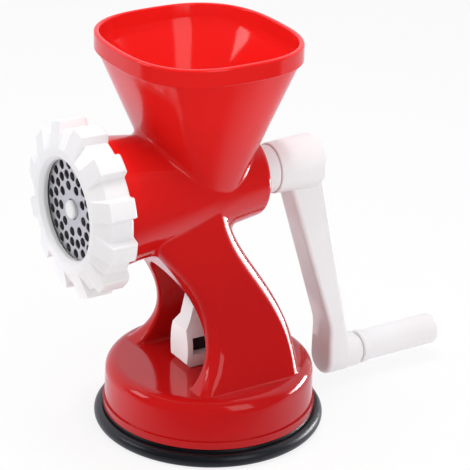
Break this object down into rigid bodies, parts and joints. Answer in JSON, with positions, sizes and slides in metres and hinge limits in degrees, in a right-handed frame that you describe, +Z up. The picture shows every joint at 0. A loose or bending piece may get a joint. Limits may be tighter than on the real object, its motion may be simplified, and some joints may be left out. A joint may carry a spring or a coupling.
{
  "type": "hand crank meat grinder",
  "caption": "Hand crank meat grinder with a square funnel hopper, tapered barrel, toothed ring nut, drilled plate, arched pedestal, lever-worked suction base and a crank with a turning grip.",
  "frame": {"origin": "centre of the suction pad's flat underside, on the table", "axes": "+X along the barrel from the plate to the crank, +Y across, +Z up"},
  "size_m": [0.2495, 0.1316, 0.2314],
  "materials": {
    "red_plastic": "gloss",
    "white_plastic": "gloss",
    "grey_plastic": "matte",
    "black_plastic": "matte",
    "rubber": "satin",
    "steel": "satin"
  },
  "bodies": {
    "stand": {"body": "red_plastic", "rear_bush": "white_plastic", "thrust_washer": "grey_plastic", "suction_pad": "rubber"},
    "crank": {"crank_arm": "white_plastic", "auger": "white_plastic", "drive_shank": "steel", "knife": "steel", "crank_screw": "steel", "crank_washer": "steel", "handle_axle": "steel", "axle_washer": "steel", "handle_collar": "white_plastic"},
    "grip": {"handle_grip": "white_plastic", "grip_cap": "white_plastic"},
    "plate": {"grinding_plate": "steel"},
    "nut": {"ring_nut": "white_plastic"},
    "stem": {"pull_stem": "black_plastic", "pull_plate": "grey_plastic", "lever_pin": "steel"},
    "lever": {"suction_lever": "white_plastic"}
  },
  "joints": [
    {"name": "crank_spin", "type": "hinge", "parent": "stand", "child": "crank", "pos_m": [0, 0, 0.14575], "axis": [1, 0, 0], "continuous": true},
    {"name": "grip_spin", "type": "hinge", "parent": "crank", "child": "grip", "pos_m": [0.13, 0, 0.018], "axis": [1, 0, 0], "continuous": true},
    {"name": "plate_slide", "type": "slide", "parent": "stand", "child": "plate", "axis": [-1, 0, 0], "range_m": [0, 0.012]},
    {"name": "nut_turn", "type": "hinge", "parent": "plate", "child": "nut", "pos_m": [-0.0827, 0, 0.14575], "axis": [-1, 0, 0], "range_deg": [0, 720]},
    {"name": "stem_lift", "type": "slide", "parent": "stand", "child": "stem", "axis": [0, 0, 1], "range_m": [0, 0.004]},
    {"name": "lever_turn", "type": "hinge", "parent": "stem", "child": "lever", "pos_m": [0, 0, 0.0507], "axis": [0, 1, 0], "range_deg": [0, 85]}
  ],
  "couplings": [
    {"joint": "plate_slide", "follows": "nut_turn", "m_per_rad": 0.00095493},
    {"joint": "stem_lift", "follows": "lever_turn", "m_per_rad": 0.0026963}
  ]
}
